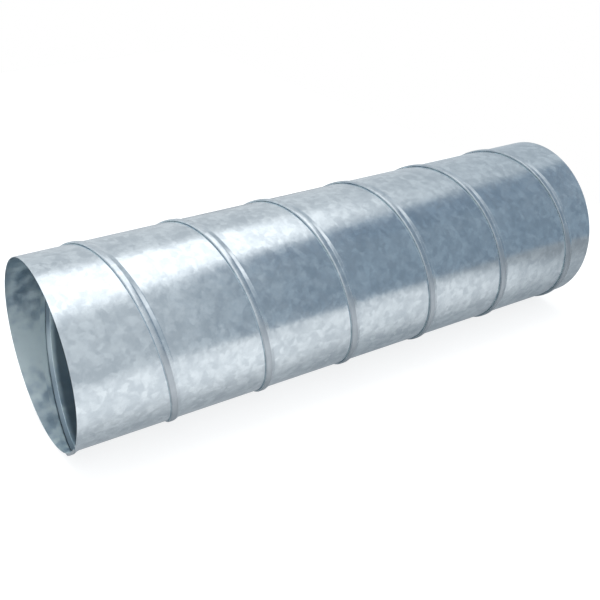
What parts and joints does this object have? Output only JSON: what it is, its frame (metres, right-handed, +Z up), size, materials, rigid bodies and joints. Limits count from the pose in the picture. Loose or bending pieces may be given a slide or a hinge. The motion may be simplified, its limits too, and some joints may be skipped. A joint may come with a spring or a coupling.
{
  "type": "spiral duct section",
  "caption": "Straight length of round spiral-wound ventilation duct in galvanised sheet, with a raised helical lock seam outside, a smooth bore and both ends sawn square.",
  "frame": {"origin": "centre of the footprint, on the floor that the lock's back rests on", "axes": "+X along the duct, from the end nearer the camera to the far end; +Z up"},
  "size_m": [0.75, 0.23, 0.23],
  "materials": {
    "galvanised_sheet": "zinc-coated steel sheet, satin, with a soft spangle"
  },
  "bodies": {
    "root": {"spiral_duct": "galvanised_sheet"}
  },
  "joints": []
}
